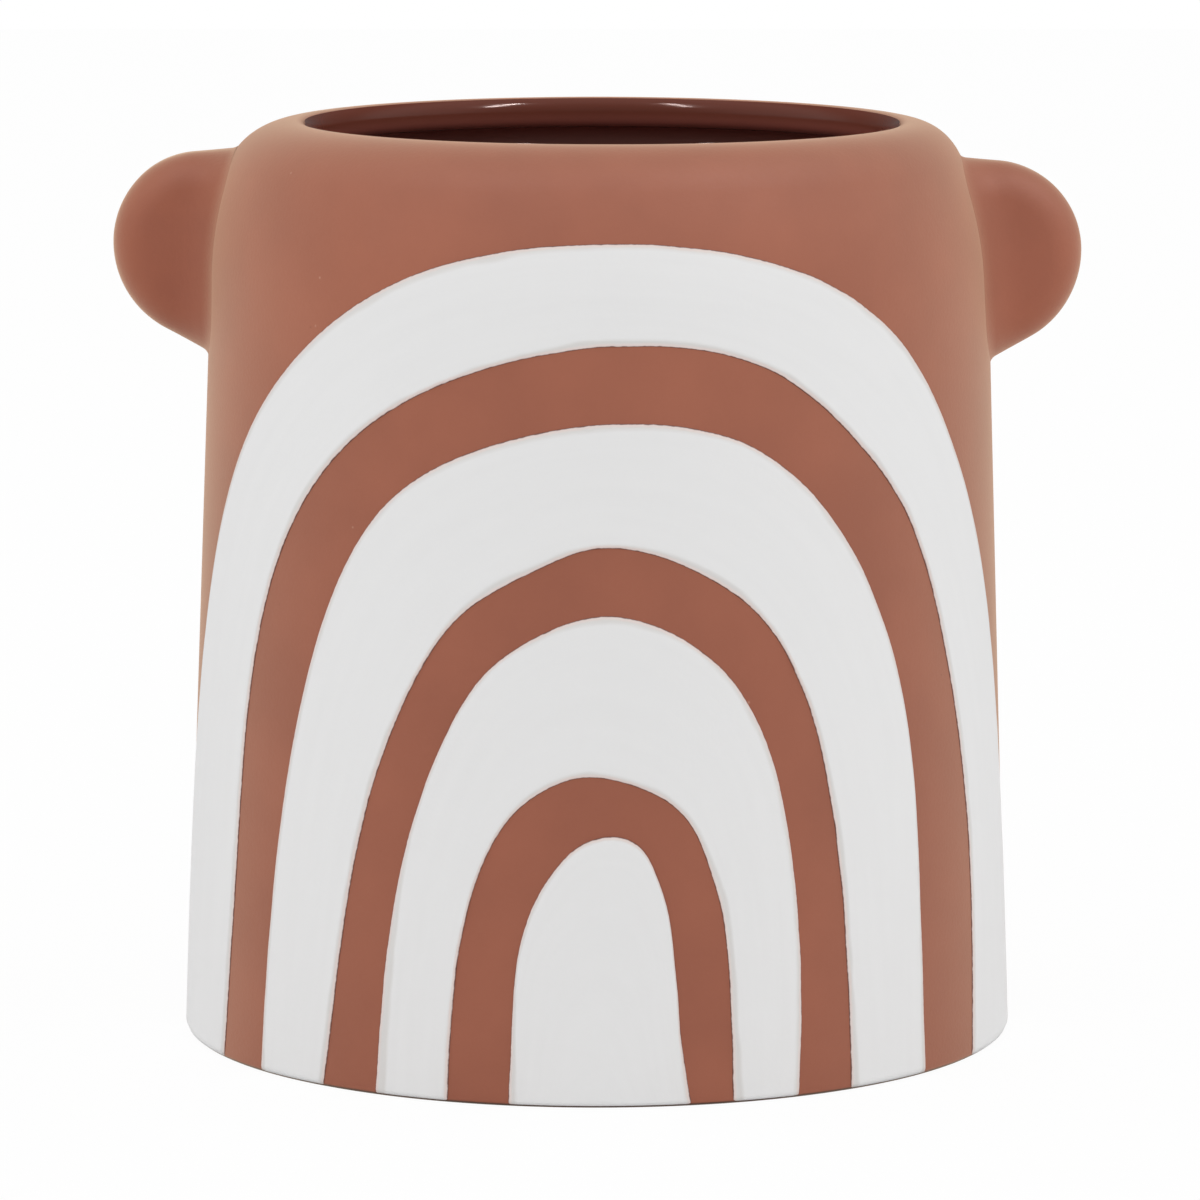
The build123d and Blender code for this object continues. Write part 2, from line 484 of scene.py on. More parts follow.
class ProfilePen:
    """Draws a half-section of a round piece and spins it about the jar's axis."""

    def __init__(self, radius: float, level: float) -> None:
        """Put the pen down at a radius and a height."""
        self.mesh = bmesh.new()
        self.tip = self.mesh.verts.new((radius * MM, 0, level * MM))

    def line_to(self, radius: float, level: float, step: float = 3.0) -> None:
        """Draw a straight line.

        Args:
            radius: Where the line ends, out from the axis.
            level: Height of that end.
            step: Longest edge in the line.
        """
        start = self.tip.co.copy()
        end = Vector((radius, 0, level)) * MM
        parts = ceil((end - start).length / (step * MM))
        for part in range(parts):
            self.tip = bmesh.ops.extrude_vert_indiv(self.mesh, verts=[self.tip])["verts"][0]
            self.tip.co = start.lerp(end, (part + 1) / parts)

    def turn(self, centre: Vector, angle: float, steps: int) -> None:
        """Draw an arc.

        Args:
            centre: Radius and height of the arc's centre.
            angle: Swept angle in radians, positive from the outward side to the upward side.
            steps: Edges in the arc.
        """
        made = bmesh.ops.spin(
            self.mesh,
            geom=[self.tip],
            cent=(centre.x * MM, 0, centre.y * MM),
            axis=(0, -1, 0),
            angle=angle,
            steps=steps,
        )
        self.tip = next(part for part in made["geom_last"] if isinstance(part, bmesh.types.BMVert))

    def spin(self, steps: int, closed: bool) -> bmesh.types.BMesh:
        """Spin the section into a round piece.

        Args:
            steps: Facets round the piece.
            closed: Whether the section's two ends are joined first.

        Returns:
            The finished mesh, its faces pointing out of the piece.
        """
        if closed:
            ends = [vert for vert in self.mesh.verts if len(vert.link_edges) == 1]
            self.mesh.edges.new(ends)
        bmesh.ops.spin(
            self.mesh,
            geom=self.mesh.verts[:] + self.mesh.edges[:],
            cent=(0, 0, 0),
            axis=(0, 0, 1),
            angle=2 * pi,
            steps=steps,
            use_merge=True,
        )
        bmesh.ops.remove_doubles(self.mesh, verts=self.mesh.verts, dist=SPIN_WELD)
        bmesh.ops.recalc_face_normals(self.mesh, faces=self.mesh.faces)
        return self.mesh


def as_piece(
    mesh: bmesh.types.BMesh, name: str, material: bpy.types.Material, crease: float
) -> bpy.types.Object:
    """Turn a bmesh into an object of the jar.

    Args:
        mesh: Geometry in metres; it is freed.
        name: Name of the piece.
        material: Its finish.
        crease: Edges that turn by more degrees than this stay sharp.

    Returns:
        The object, riding on the jar's body.
    """
    for face in mesh.faces:
        face.smooth = True
    for edge in mesh.edges:
        edge.smooth = not edge.is_manifold or edge.calc_face_angle() < radians(crease)
    data = bpy.data.meshes.new(name)
    mesh.to_mesh(data)
    mesh.free()
    data.materials.append(material)
    piece = bpy.data.objects.new(name, data)
    bpy.context.scene.collection.objects.link(piece)
    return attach(piece, "root")


@dataclass(frozen=True)
class JarShape:
    """Sizes of the clay body and the curve that its wall follows."""

    height: float = 175.4
    foot_radius: float = 79.6
    wall_lean: float = 2.0
    wall: float = 5.5
    foot_edge: float = 1.0
    haunch_radius: float = 66.0
    shoulder_radius: float = 12.5
    lip_inset: float = 14.9
    foot_recess: float = 2.0
    floor_thickness: float = 6.0

    @cached_property
    def lean(self) -> float:
        """The drum's lean in radians."""
        return radians(self.wall_lean)

    @cached_property
    def outward(self) -> Vector:
        """Direction square off the drum, as radius and height."""
        return Vector((cos(self.lean), sin(self.lean)))

    @cached_property
    def lip_radius(self) -> float:
        """Radius of the lip's crest."""
        return self.foot_radius - self.height * tan(self.lean) - self.lip_inset

    @cached_property
    def lip_centre(self) -> Vector:
        """Centre of the lip's roll."""
        return Vector((self.lip_radius, self.height - self.wall / 2))

    @cached_property
    def shoulder_centre(self) -> Vector:
        """Centre of the short curve under the lip."""
        return Vector((self.lip_radius, self.height - self.shoulder_radius))

    @cached_property
    def haunch_centre(self) -> Vector:
        """Centre of the long curve that touches the drum and the short curve.

        Returns:
            Its radius and height.
        """
        up = Vector((-sin(self.lean), cos(self.lean)))
        depth = self.outward.dot(Vector((self.foot_radius, 0)) - self.shoulder_centre)
        back = self.haunch_radius - depth
        below = sqrt((self.haunch_radius - self.shoulder_radius) ** 2 - back**2)
        return self.shoulder_centre - self.outward * back - up * below

    @cached_property
    def shoulder_start(self) -> float:
        """Angle above level at which the long curve gives way to the short one."""
        way = self.shoulder_centre - self.haunch_centre
        return atan2(way.y, way.x)

    @cached_property
    def shoulder_turn(self) -> float:
        """Angle that the short curve turns through, up to the lip's crest."""
        return pi / 2 - self.shoulder_start

    @cached_property
    def haunch_turn(self) -> float:
        """Angle that the long curve turns through, from the drum to the short curve."""
        return self.shoulder_start - self.lean

    @cached_property
    def floor_top(self) -> float:
        """Height of the clay floor inside."""
        return self.foot_recess + self.floor_thickness

    def drum_radius(self, level: float, proud: float = 0.0) -> float:
        """Radius of the drum's own straight line at a height, moved outwards by proud."""
        return self.foot_radius + proud / cos(self.lean) - level * tan(self.lean)

    def haunch_start(self, proud: float = 0.0) -> Vector:
        """Point where the drum gives way to the long curve, moved outwards by proud."""
        return self.haunch_centre + self.outward * (self.haunch_radius + proud)

    def stand_off(self, level: np.ndarray, proud: np.ndarray) -> tuple[np.ndarray, np.ndarray]:
        """Find points that stand off the outside of the clay, below the shoulder.

        Args:
            level: Heights above the table of the points' feet on the clay.
            proud: How far each point stands square off the clay.

        Returns:
            The points' radii and heights.
        """
        rise = (level - self.haunch_centre.y) / self.haunch_radius
        tilt = np.maximum(np.arcsin(np.clip(rise, -1, 1)), self.lean)
        under = np.clip(self.foot_edge - level, 0, self.foot_edge)
        foot = self.drum_radius(level) - self.foot_edge + np.sqrt(self.foot_edge**2 - under**2)
        haunch = self.haunch_centre.x + self.haunch_radius * np.cos(tilt)
        base = np.where(level > self.haunch_start().y, haunch, foot)
        return base + proud * np.cos(tilt), level + proud * np.sin(tilt)


@dataclass(frozen=True)
class PotterHand:
    """Small departures from true round that the potter's hand left in the clay."""

    levels: tuple[float, ...] = (20.0, 132.0, 150.0, 166.0, 174.0)
    lean_right: tuple[float, ...] = (0.0, 0.45, 0.1, -0.25, 0.0)
    mouth_shift: float = 1.0
    mouth_dip: float = 0.2
    mouth_level: float = 168.0
    mouth_radius: float = 57.0
    blend: float = 14.0
    ear_tip: float = 92.0
    ear_blend: float = 11.0

    def press(self, mesh: bmesh.types.BMesh) -> None:
        """Move a piece's points: the drum leans a hair and the mouth sits off centre.

        Args:
            mesh: Geometry in metres.
        """
        x, y, z = np.array([vert.co for vert in mesh.verts]).T / MM
        radius = np.maximum(np.hypot(x, y), TINY)
        held = np.clip((self.ear_tip - radius) / self.ear_blend, 0, 1)
        swell = 1 + held * np.interp(z, self.levels, self.lean_right) * x / radius**2
        high = np.clip((z - self.mouth_level) / self.blend + 1, 0, 1)
        inside = np.clip((self.mouth_radius - radius) / self.blend + 1, 0, 1)
        near = high**2 * (3 - 2 * high) * inside**2 * (3 - 2 * inside)
        dip = self.mouth_dip * np.clip(x / self.mouth_radius, 0, 1)
        moved = np.stack([x * swell + self.mouth_shift * near, y * swell, z - dip * near], axis=1)
        for vert, place in zip(mesh.verts, moved * MM):
            vert.co = place


@dataclass
class ClayBody:
    """Floor, drum, inturned shoulder and rolled lip, fired as one."""

    shape: JarShape
    hand: PotterHand
    finish: bpy.types.Material
    facets: int = 288
    foot_steps: int = 8
    haunch_steps: int = 18
    shoulder_steps: int = 26
    lip_steps: int = 20
    inner_shoulder_steps: int = 16
    inner_haunch_steps: int = 14

    def build(self) -> bpy.types.Object:
        """Draw the section from under the floor round to its top, and spin it.

        Returns:
            The clay body.
        """
        shape = self.shape
        inner = -shape.wall
        edge_inset = shape.foot_edge * (1 + sin(shape.lean)) / cos(shape.lean)
        edge_radius = shape.drum_radius(0) - edge_inset
        pen = ProfilePen(0, shape.foot_recess)
        pen.line_to(shape.drum_radius(shape.foot_recess, inner), shape.foot_recess, step=8)
        pen.line_to(shape.drum_radius(0, inner), 0)
        pen.line_to(edge_radius, 0)
        pen.turn(Vector((edge_radius, shape.foot_edge)), pi / 2 + shape.lean, self.foot_steps)
        pen.line_to(*shape.haunch_start(), step=2)
        pen.turn(shape.haunch_centre, shape.haunch_turn, self.haunch_steps)
        pen.turn(shape.shoulder_centre, shape.shoulder_turn, self.shoulder_steps)
        pen.turn(shape.lip_centre, pi, self.lip_steps)
        pen.turn(shape.shoulder_centre, -shape.shoulder_turn, self.inner_shoulder_steps)
        pen.turn(shape.haunch_centre, -shape.haunch_turn, self.inner_haunch_steps)
        pen.line_to(shape.drum_radius(shape.floor_top, inner), shape.floor_top, step=8)
        pen.line_to(0, shape.floor_top, step=8)
        mesh = pen.spin(self.facets, closed=False)
        self.hand.press(mesh)
        piece = as_piece(mesh, "clay_body", self.finish, crease=35)
        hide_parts("side_wall", "floor_disc", "shoulder_ring")
        return piece


@dataclass
class GlazeLining:
    """Thin glossy coat from the lip's inner round down over the wall and the floor."""

    shape: JarShape
    hand: PotterHand
    finish: bpy.types.Material
    glaze: float = 0.4
    reach: float = 57.0
    floor_corner: float = 4.0
    facets: int = 288
    lip_steps: int = 14
    shoulder_steps: int = 16
    haunch_steps: int = 14
    corner_steps: int = 8

    def build(self) -> bpy.types.Object:
        """Draw the coat's section down its back and up its face, and spin it.

        Returns:
            The lining.
        """
        shape = self.shape
        back = -shape.wall
        face = back - self.glaze
        reach = radians(self.reach)
        start = shape.lip_centre + Vector((-cos(reach), sin(reach))) * shape.wall / 2
        floor = shape.floor_top + self.glaze
        corner_level = floor + self.floor_corner
        corner_radius = shape.drum_radius(corner_level, face) - self.floor_corner
        pen = ProfilePen(*start)
        pen.turn(shape.lip_centre, pi / 2 + reach, self.lip_steps)
        pen.turn(shape.shoulder_centre, -shape.shoulder_turn, self.shoulder_steps)
        pen.turn(shape.haunch_centre, -shape.haunch_turn, self.haunch_steps)
        pen.line_to(shape.drum_radius(shape.floor_top, back), shape.floor_top, step=6)
        pen.line_to(0, shape.floor_top, step=8)
        pen.line_to(0, floor)
        pen.line_to(corner_radius, floor, step=8)
        pen.turn(Vector((corner_radius, corner_level)), pi / 2, self.corner_steps)
        pen.line_to(*shape.haunch_start(face), step=3)
        pen.turn(shape.haunch_centre, shape.haunch_turn, self.haunch_steps)
        pen.turn(shape.shoulder_centre, shape.shoulder_turn, self.shoulder_steps)
        pen.turn(shape.lip_centre, -pi / 2 - reach, self.lip_steps)
        mesh = pen.spin(self.facets, closed=True)
        self.hand.press(mesh)
        piece = as_piece(mesh, "glaze_coat", self.finish, crease=35)
        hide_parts("glaze_lining")
        return piece


@dataclass
class EarLug:
    """Solid half-round ear, luted to the wall under the shoulder."""

    node: str
    name: str
    shape: JarShape
    hand: PotterHand
    finish: bpy.types.Material
    tip_level: float
    spread: float
    flare: float = 4.0
    flare_reach: float = 9.0
    flare_power: int = 3
    half_thickness: float = 7.5
    slices: tuple[float, float, float] = (70.0, 90.0, 1.0)

    def build(self) -> bpy.types.Object:
        """Take the ear's own solid, cut it finer and smear its root out onto the wall.

        Returns:
            The ear.
        """
        mesh = bmesh.new()
        mesh.from_mesh(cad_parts[self.node].data)
        bmesh.ops.remove_doubles(mesh, verts=mesh.verts, dist=WELD)
        side = copysign(1, next(iter(mesh.verts)).co.x)
        for out in np.arange(*self.slices):
            bmesh.ops.bisect_plane(
                mesh,
                geom=mesh.verts[:] + mesh.edges[:] + mesh.faces[:],
                dist=CUT_SNAP,
                plane_co=(side * out * MM, 0, 0),
                plane_no=(1, 0, 0),
            )
        bmesh.ops.recalc_face_normals(mesh, faces=mesh.faces)
        x, y, z = np.array([vert.co for vert in mesh.verts]).T / MM
        flush = np.zeros_like(z)
        off_wall = np.hypot(x, y) - self.shape.stand_off(z, flush)[0]
        z = self.tip_level + (z - self.tip_level) * self.spread
        radius = off_wall + self.shape.stand_off(z, flush)[0]
        near = np.clip(1 - off_wall / self.flare_reach, 0, 1)
        smear = near**self.flare_power * self.flare / self.half_thickness
        angle = np.arctan2(y, np.abs(x)) * (1 + smear)
        across = np.sign(x) * radius * np.cos(angle)
        smeared = np.stack([across, radius * np.sin(angle), z], axis=1)
        for vert, place in zip(mesh.verts, smeared * MM):
            vert.co = place
        self.hand.press(mesh)
        piece = as_piece(mesh, self.name, self.finish, crease=35)
        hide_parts(self.node)
        return piece


@dataclass(frozen=True)
class ArchEdge:
    """One hand-drawn edge of a slip band, as half-widths either side of the front line.

    The second coat stops short of the edge by the set-backs, at even shares of the edge's run.
    """

    crown: float
    crown_shift: float
    left: tuple[float, ...]
    right: tuple[float, ...]
    set_back: tuple[float, ...]
    stations: tuple[float, ...] = (0.0, 0.30, 0.55, 0.75, 0.88, 0.96)

    @property
    def seed(self) -> float:
        """Number that tells this edge's wavering from another's."""
        return self.crown

    def drawn(self) -> np.ndarray:
        """Lay the edge's points flat.

        Returns:
            Rows of distance right of the front line, measured round the foot, and height.
        """
        climb = [(-half, share * self.crown) for half, share in zip(self.left, self.stations)]
        fall = [(half, share * self.crown) for half, share in zip(self.right, self.stations)]
        return np.array([*climb, (self.crown_shift, self.crown), *fall[::-1]], float)

    def sampled(self, shares: np.ndarray) -> np.ndarray:
        """Follow the smooth curve through the drawn points.

        Args:
            shares: Shares of the edge's run, from the left foot to the right one.

        Returns:
            A row of distance and height for each share.
        """
        points = self.drawn()
        run = np.array(list(accumulate(map(dist, points, points[1:]), initial=0.0)))
        gap = np.diff(run)
        slope = np.diff(points, axis=0) / gap[:, None]
        # Natural cubic spline: the bends at the drawn points solve a small linear system
        system = np.eye(len(run))
        pull = np.zeros_like(points)
        for row in range(1, len(run) - 1):
            system[row, row - 1 : row + 2] = gap[row - 1], 2 * (gap[row - 1] + gap[row]), gap[row]
            pull[row] = 6 * (slope[row] - slope[row - 1])
        bend = np.linalg.solve(system, pull)
        at = shares * run[-1]
        span = np.clip(np.searchsorted(run, at, side="right") - 1, 0, len(gap) - 1)
        ahead = (at - run[span])[:, None]
        width = gap[span][:, None]
        first = slope[span] - width * (2 * bend[span] + bend[span + 1]) / 6
        third = (bend[span + 1] - bend[span]) / (6 * width)
        return points[span] + ahead * (first + ahead * (bend[span] / 2 + ahead * third))


@dataclass(frozen=True)
class FootLine:
    """Straight lower edge of a band that has no opening under it."""

    half: float
    set_back: tuple[float, ...] = (0.0, 0.0)
    seed: float = 0.0

    def sampled(self, shares: np.ndarray) -> np.ndarray:
        """Points along the line, by their shares of it."""
        return np.stack([(2 * shares - 1) * self.half, np.zeros_like(shares)], axis=1)


@dataclass
class SlipBand:
    """Raised band of white slip in two coats, the second set back from the edge here and there."""

    node: str
    name: str
    shape: JarShape
    hand: PotterHand
    finish: bpy.types.Material
    outer: ArchEdge
    inner: ArchEdge | FootLine
    slip: float = 0.4
    first_coat: float = 0.2
    lift: float = 0.5
    foot_corner: float = 0.6
    foot_blend: float = 4.0
    edge_round: float = 0.45
    coat_round: float = 0.7
    patch: float = 7.0
    patch_depth: float = 0.5
    waver: float = 0.14
    waver_length: float = 8.0
    waver_seed: float = 0.5
    foot_thin: float = 0.3
    foot_taper: float = 0.8
    along: int = 420
    across: int = 36

    @staticmethod
    def wandering(run: np.ndarray, size: float, seed: float) -> np.ndarray:
        """Slow noise along an edge.

        Args:
            run: Points of the edge laid flat.
            size: Length of its swings.
            seed: Tells one edge from another.

        Returns:
            A value of about minus one to one for each point.
        """
        return np.array([noise.noise((x / size, y / size, seed)) for x, y in run])

    def coat_height(self, depth: np.ndarray, back: np.ndarray) -> np.ndarray:
        """Height of the two coats at a distance from an edge.

        Args:
            depth: Distance from the edge.
            back: How far the second coat is set back there.

        Returns:
            Height above the clay.
        """
        first = 1 - np.clip(1 - depth / self.edge_round, 0, 1) ** 2
        second = 1 - np.clip(1 - (depth - back) / self.coat_round, 0, 1) ** 2
        return self.first_coat * np.sqrt(first) + (self.slip - self.first_coat) * np.sqrt(second)

    def edges(self) -> tuple[np.ndarray, np.ndarray, np.ndarray, np.ndarray]:
        """Sample the band's two edges, wavering as the brush did.

        Returns:
            Points of the inner and the outer edge laid flat, then the set-backs along each.
        """
        shares = np.linspace(0, 1, self.along + 1)
        runs = []
        backs = []
        for edge in (self.inner, self.outer):
            run = edge.sampled(shares)
            back = np.interp(shares, np.linspace(0, 1, len(edge.set_back)), edge.set_back)
            patches = np.clip(self.wandering(run, self.patch, edge.seed), 0, 1)
            waver = self.wandering(run, self.waver_length, edge.seed + self.waver_seed)
            runs.append(run + self.waver * waver[:, None])
            backs.append(back + self.patch_depth * patches)
        return *runs, *backs

    def slab(
        self, length: float, breadth: float
    ) -> tuple[bmesh.types.BMesh, set[bmesh.types.BMVert]]:
        """Extrude a fine grid into a slab, with a map in metres for the brush marks.

        Args:
            length: Length of the band in metres.
            breadth: Mean breadth of the band in metres.

        Returns:
            The slab, a unit square, and the points on its under side.
        """
        mesh = bmesh.new()
        bmesh.ops.create_grid(mesh, x_segments=self.along, y_segments=self.across, size=0.5)
        brushed = mesh.loops.layers.uv.new("along_and_across")
        mesh.verts.layers.float.new("edge_depth")
        mesh.verts.layers.float.new("cover_depth")
        for face in mesh.faces:
            for loop in face.loops:
                loop[brushed].uv = (loop.vert.co.x * length, loop.vert.co.y * breadth)
        under = set(mesh.verts)
        bmesh.ops.extrude_face_region(mesh, geom=mesh.faces[:], use_keep_orig=True)
        return mesh, under

    def build(self) -> bpy.types.Object:
        """Make the slab and lay its two sides on the wall.

        Returns:
            The band.
        """
        inside, outside, inner_back, outer_back = self.edges()
        breadth = np.linalg.norm(outside - inside, axis=1)
        length = np.linalg.norm(np.diff(outside, axis=0), axis=1).sum()
        mesh, under = self.slab(length * MM, breadth.mean() * MM)
        places = np.array([vert.co for vert in mesh.verts])
        step = np.rint((places[:, 0] + 0.5) * self.along).astype(int)
        # Rows lie closer towards the edges, where the coats are rounded
        across = 0.5 - 0.5 * np.cos(np.pi * (places[:, 1] + 0.5))
        points = inside[step] + (outside - inside)[step] * across[:, None]
        # Two coats, thinned towards whichever edge is nearer
        depth = (1 - across) * breadth[step]
        cover = depth - outer_back[step]
        proud = self.coat_height(depth, outer_back[step])
        if isinstance(self.inner, ArchEdge):
            inset = across * breadth[step]
            proud = np.minimum(proud, self.coat_height(inset, inner_back[step]))
            cover = np.minimum(cover, inset - inner_back[step])
            depth = np.minimum(depth, inset)
        # The foot is lifted off the table, with rounded corners
        corner = np.clip(self.foot_corner - depth, 0, self.foot_corner)
        lifted = self.lift + self.foot_corner - np.sqrt(self.foot_corner**2 - corner**2)
        level = points[:, 1] + lifted * np.clip(1 - points[:, 1] / self.foot_blend, 0, 1)
        proud = proud * np.clip(self.foot_thin + (level - self.lift) / self.foot_taper, 0, 1)
        proud = proud * np.array([vert not in under for vert in mesh.verts])
        radius, rise = self.shape.stand_off(level, proud)
        angle = points[:, 0] / self.shape.foot_radius
        rise = np.maximum(rise, self.lift)
        laid = np.stack([radius * np.sin(angle), -radius * np.cos(angle), rise], axis=1)
        edge_depth = mesh.verts.layers.float["edge_depth"]
        cover_depth = mesh.verts.layers.float["cover_depth"]
        for vert, place, deep, covered in zip(mesh.verts, laid * MM, depth, cover):
            vert.co = place
            vert[edge_depth] = deep
            vert[cover_depth] = covered
        self.hand.press(mesh)
        bmesh.ops.remove_doubles(mesh, verts=mesh.verts, dist=WELD)
        bmesh.ops.recalc_face_normals(mesh, faces=mesh.faces)
        piece = as_piece(mesh, self.name, self.finish, crease=75)
        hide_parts(self.node)
        return piece


@dataclass(frozen=True)
class Softbox:
    """Flat lamp that looks at the jar; its distance, sides and aim are metres."""

    name: str
    azimuth: float
    elevation: float
    distance: float
    width: float
    height: float
    power: float
    use: LampUse = LampUse.FILL
    tint: str = "#FFFFFF"
    aim: float = 0.09

    def build(self) -> None:
        """Hang the lamp: azimuth is taken from the front, positive to the right."""
        turn, rise = radians(self.azimuth), radians(self.elevation)
        way = Vector((sin(turn) * cos(rise), -cos(turn) * cos(rise), sin(rise)))
        lamp = bpy.data.lights.new(self.name, "AREA")
        lamp.shape = "RECTANGLE"
        lamp.size = self.width
        lamp.size_y = self.height
        lamp.energy = self.power
        lamp.color = linear(self.tint)[:3]
        holder = bpy.data.objects.new(self.name, lamp)
        holder.location = Vector((0, 0, self.aim)) + way * self.distance
        holder.rotation_euler = way.to_track_quat("Z", "Y").to_euler()
        holder.visible_glossy = self.use is LampUse.GLINT
        holder.visible_diffuse = self.use is LampUse.FILL
        bpy.context.scene.collection.objects.link(holder)


@dataclass
class Studio:
    """White light tent, pale floor, lamps and the camera."""

    glint_tint: str = "#FFECE8"
    surround: float = 0.85
    room: float = 0.25
    front_opening: tuple[float, float] = (-0.9, -0.35)
    back: float = 0.12
    back_sheet: tuple[float, float] = (0.1, 0.6)
    floor_size: float = 6000.0
    floor_white: float = 0.82
    floor_roughness: float = 0.9
    floor_glow: float = 0.96
    floor_drop: float = 0.05
    camera_place: tuple[float, float, float] = (0.58, -1299.64, 276.15)
    camera_pitch: float = 8.4746
    lens: float = 203.99
    sensor: float = 36.0

    def build(self) -> None:
        """Put up the tent, the floor, the lamps and the camera."""
        self.hang_tent()
        self.lay_floor()
        glint = {"use": LampUse.GLINT, "tint": self.glint_tint}
        # Name, azimuth, elevation and distance, then the lamp's sides and power
        for lamp in (
            Softbox("left_wing", -100, 22, 1.6, width=1.0, height=1.0, power=4.2),
            Softbox("right_wing", 100, 22, 1.6, width=1.0, height=1.0, power=4.6),
            Softbox("front_fill", 0, 30, 1.8, width=1.2, height=1.2, power=4.6),
            Softbox("left_strip", -41, 53, 1.6, width=0.05, height=0.6, power=12.5, **glint),
            Softbox("right_strip", 54, 52, 1.6, width=0.09, height=0.6, power=20.0, **glint),
        ):
            lamp.build()
        self.set_camera()

    def hang_tent(self) -> None:
        """Hang a white tent; reflections find a dim open front and a grey sheet at its back."""
        world = bpy.data.worlds.new("white_tent")
        world.use_nodes = True
        tree = world.node_tree
        path = add_node(tree, "ShaderNodeLightPath", {}).outputs
        facing = add_node(tree, "ShaderNodeTexCoord", {}).outputs["Generated"]
        way = add_node(tree, "ShaderNodeSeparateXYZ", {"Vector": facing}).outputs["Y"]
        mirrored = self.room
        for (near, far), beyond in ((self.front_opening, 1.0), (self.back_sheet, self.back)):
            mirrored = add_node(
                tree,
                "ShaderNodeMapRange",
                {
                    "Value": way,
                    "From Min": near,
                    "From Max": far,
                    "To Min": mirrored,
                    "To Max": beyond,
                },
                interpolation_type="SMOOTHSTEP",
            ).outputs["Result"]
        level = add_node(
            tree,
            "ShaderNodeMapRange",
            {"Value": path["Is Glossy Ray"], "To Min": self.surround, "To Max": mirrored},
        ).outputs["Result"]
        seen = add_node(
            tree,
            "ShaderNodeMath",
            {0: path["Is Camera Ray"], 1: path["Is Transmission Ray"]},
            operation="MAXIMUM",
        ).outputs[0]
        level = add_node(
            tree, "ShaderNodeMapRange", {"Value": seen, "To Min": level, "To Max": 1.0}
        ).outputs["Result"]
        background = tree.nodes["Background"]
        background.inputs["Color"].default_value = (1.0, 1.0, 1.0, 1.0)
        tree.links.new(level, background.inputs["Strength"])
        bpy.context.scene.world = world

    def lay_floor(self) -> None:
        """Lay a pale sheet that looks white to the camera and keeps a soft shadow."""
        mesh = bmesh.new()
        bmesh.ops.create_grid(mesh, x_segments=1, y_segments=1, size=self.floor_size * MM / 2)
        bmesh.ops.translate(mesh, verts=mesh.verts, vec=(0, 0, -self.floor_drop * MM))
        data = bpy.data.meshes.new("floor_sheet")
        mesh.to_mesh(data)
        mesh.free()
        material, tree, shader = new_finish("white_paper_sweep")
        shader.inputs["Base Color"].default_value = (self.floor_white,) * 3 + (1.0,)
        shader.inputs["Roughness"].default_value = self.floor_roughness
        shader.inputs["Specular IOR Level"].default_value = 0.0
        path = add_node(tree, "ShaderNodeLightPath", {}).outputs
        seen = path["Is Camera Ray"]
        for other in ("Is Glossy Ray", "Is Transmission Ray"):
            seen = add_node(
                tree, "ShaderNodeMath", {0: seen, 1: path[other]}, operation="MAXIMUM"
            ).outputs[0]
        white = add_node(
            tree, "ShaderNodeEmission", {"Color": (1.0, 1.0, 1.0, 1.0), "Strength": 1.0}
        ).outputs["Emission"]
        share = add_node(
            tree, "ShaderNodeMath", {0: seen, 1: self.floor_glow}, operation="MULTIPLY"
        ).outputs[0]
        mixed = add_node(
            tree, "ShaderNodeMixShader", {0: share, 1: shader.outputs["BSDF"], 2: white}
        )
        tree.links.new(mixed.outputs["Shader"], tree.nodes["Material Output"].inputs["Surface"])
        data.materials.append(material)
        floor = bpy.data.objects.new("floor_sheet", data)
        bpy.context.scene.collection.objects.link(floor)

    def set_camera(self) -> None:
        """Stand the camera in front of the jar, level and looking slightly down."""
        camera = bpy.data.cameras.new("camera")
        camera.lens = self.lens
        camera.sensor_width = self.sensor
        holder = bpy.data.objects.new("camera", camera)
        holder.location = Vector(self.camera_place) * MM
        holder.rotation_euler = (radians(90 - self.camera_pitch), 0, 0)
        bpy.context.scene.collection.objects.link(holder)
        bpy.context.scene.camera = holder
        bpy.context.scene.view_settings.view_transform = "Standard"


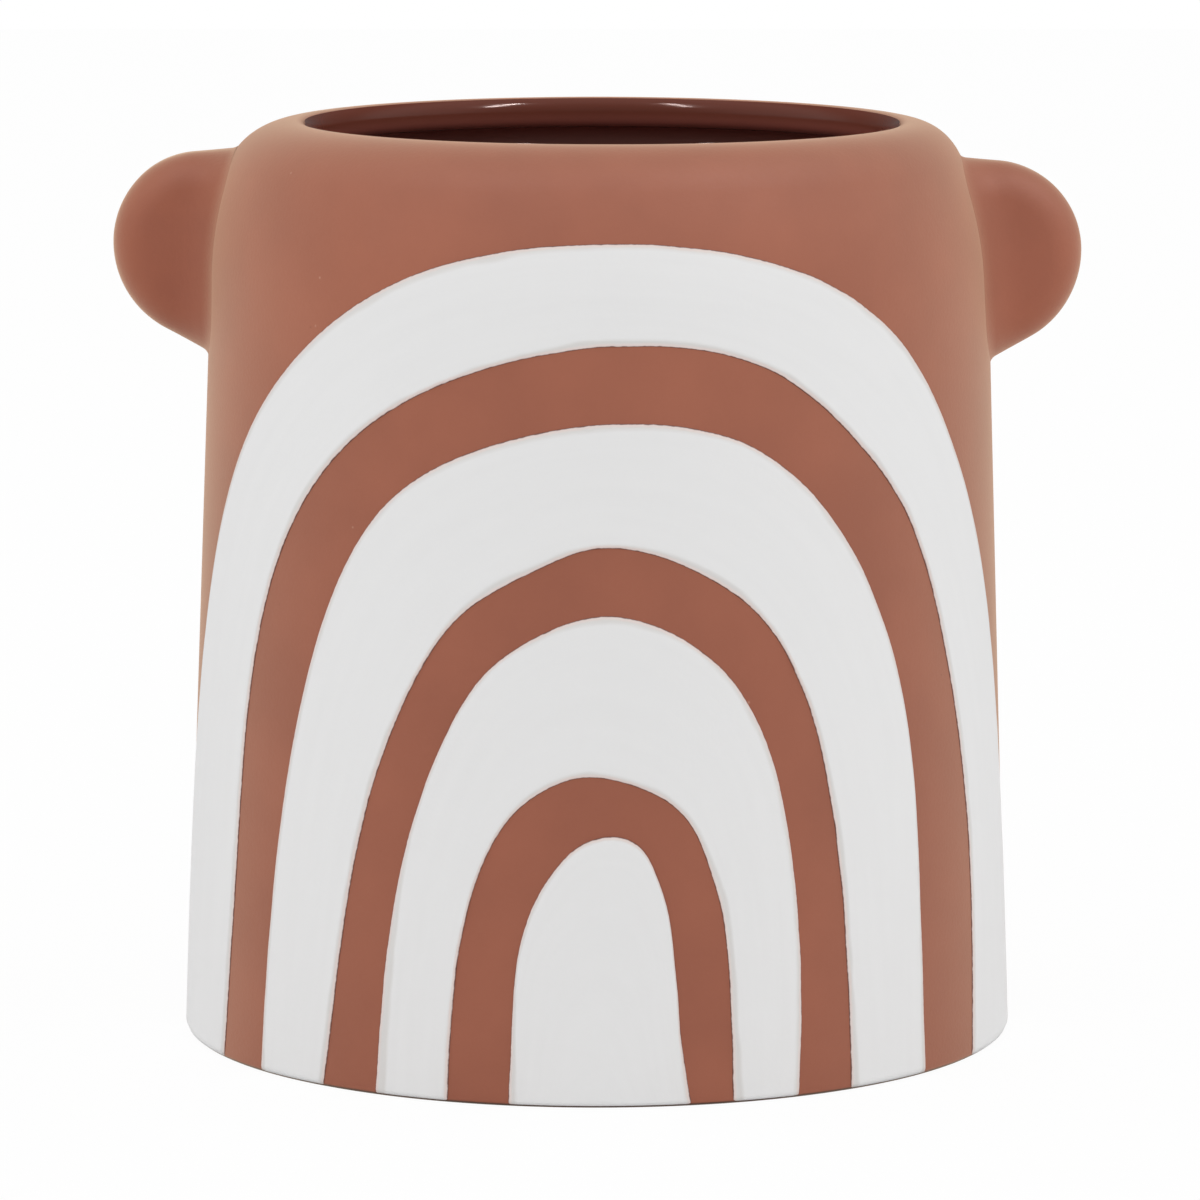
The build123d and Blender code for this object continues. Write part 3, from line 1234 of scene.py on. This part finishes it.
@dataclass(frozen=True)
class ArchPattern:
    """Drawn edges of the pattern of arches, from the outermost to the tongue in the middle."""

    outer_arch: ArchEdge = ArchEdge(
        crown=158.5,
        crown_shift=2,
        left=(123.8, 116.2, 103.3, 84.4, 61.2, 37.4),
        right=(125, 114.5, 102.6, 84.3, 65.7, 43),
        set_back=(0.7, 0.7, 0.7, 0.7, 0.7, 0.9, 0.4, 0.3, 0.7, 0.6, 0.7, 0.7, 0.7),
    )
    outer_stripe: ArchEdge = ArchEdge(
        crown=140,
        crown_shift=6.5,
        left=(86.8, 83.2, 78.7, 66.4, 48.2, 25.4),
        right=(88, 88.7, 81, 68.6, 51.6, 35.5),
        set_back=(0.7, 0.7, 0.4, 0.4, 0.5, 0.1, 0.8, 0.4, 0.4, 0.2, 0.7, 0.4, 0.5),
    )
    middle_arch: ArchEdge = ArchEdge(
        crown=126,
        crown_shift=4,
        left=(72.9, 70, 63.8, 54.2, 41.7, 22.9),
        right=(70.6, 69.9, 66.6, 56.9, 44.7, 31),
        set_back=(0.7, 0.5, 0.7, 0.8, 0.4, 0.6, 0.7, 0.2, 0.8, 0.4, 0.2, 0.4, 1.0),
    )
    middle_stripe: ArchEdge = ArchEdge(
        crown=102.9,
        crown_shift=-1.5,
        left=(55, 50.8, 45, 36.1, 26.1, 12.2),
        right=(50.5, 49.6, 46.4, 40.2, 31.1, 19),
        set_back=(0.6, 0.4, 0.3, 0.5, 0.1, 0.8, 0.1, 0.9, 0.0, 0.5, 0.8, 0.3, 1.2),
    )
    inner_arch: ArchEdge = ArchEdge(
        crown=90.9,
        crown_shift=2,
        left=(43, 41, 36.4, 29.2, 21.4, 10.9),
        right=(38.9, 39.6, 37.3, 32.3, 24.7, 14.9),
        set_back=(1.8, 1.6, 1.2, 0.3, 0.1, 0.1, 0.9, 0.2, 0.9, 0.8, 0.5, 0.7, 0.5),
    )
    inner_stripe: ArchEdge = ArchEdge(
        crown=61.2,
        crown_shift=-2.5,
        left=(28, 27.2, 25, 21, 16, 9.7),
        right=(25.5, 25.2, 24, 20.7, 16.5, 9.2),
        set_back=(0.2, 0.1, 0.0, 0.0, 0.1, 0.5, 0.4, 0.3, 0.6, 1.4, 0.9, 0.8, 1.5),
    )
    tongue: ArchEdge = ArchEdge(
        crown=50.3,
        crown_shift=4,
        left=(16.4, 15.8, 14.8, 11.8, 7.8, 3.8),
        right=(17.5, 15.5, 14.5, 13, 10.7, 8.2),
        set_back=(1.0, 0.9, 0.6, 0.2, 0.6, 0.3, 0.0, 0.0, 0.0, 0.2, 0.1, 0.2, 0.5),
    )
    tongue_foot: FootLine = FootLine(6.0)


def main() -> None:
    """Build the jar and its studio."""
    logging.basicConfig(level=logging.INFO, format="%(name)s: %(message)s")
    shape = JarShape()
    hand = PotterHand()
    pattern = ArchPattern()
    clay = FiredTerracotta().material()
    # Painted shade: the left ear gets a darker copy of the clay, as it stands in less light, with
    # more sheen to lighten its rims
    left_ear_shaded_clay = FiredTerracotta(
        "terracotta_with_painted_shade", light="#9B5941", dark="#94543F", bloom=0.75
    ).material()
    slip = WhiteSlip().material()
    glaze = DarkGlaze().material()
    bands = (
        ("outer_arch", pattern.outer_arch, pattern.outer_stripe),
        ("middle_arch", pattern.middle_arch, pattern.middle_stripe),
        ("inner_arch", pattern.inner_arch, pattern.inner_stripe),
        ("centre_tongue", pattern.tongue, pattern.tongue_foot),
    )
    pieces = (
        ClayBody(shape, hand, clay),
        GlazeLining(shape, hand, glaze),
        EarLug("left_lug", "left_ear", shape, hand, left_ear_shaded_clay, tip_level=152.1, spread=1.025),
        EarLug("right_lug", "right_ear", shape, hand, clay, tip_level=150.5, spread=1.015),
        *(
            SlipBand(node, f"{node}_slip", shape, hand, slip, outer, inner)
            for node, outer, inner in bands
        ),
    )
    for piece in pieces:
        made = piece.build()
        LOG.info("%s: %d faces", made.name, len(made.data.polygons))
    Studio().build()


if __name__ == "__main__":
    main()
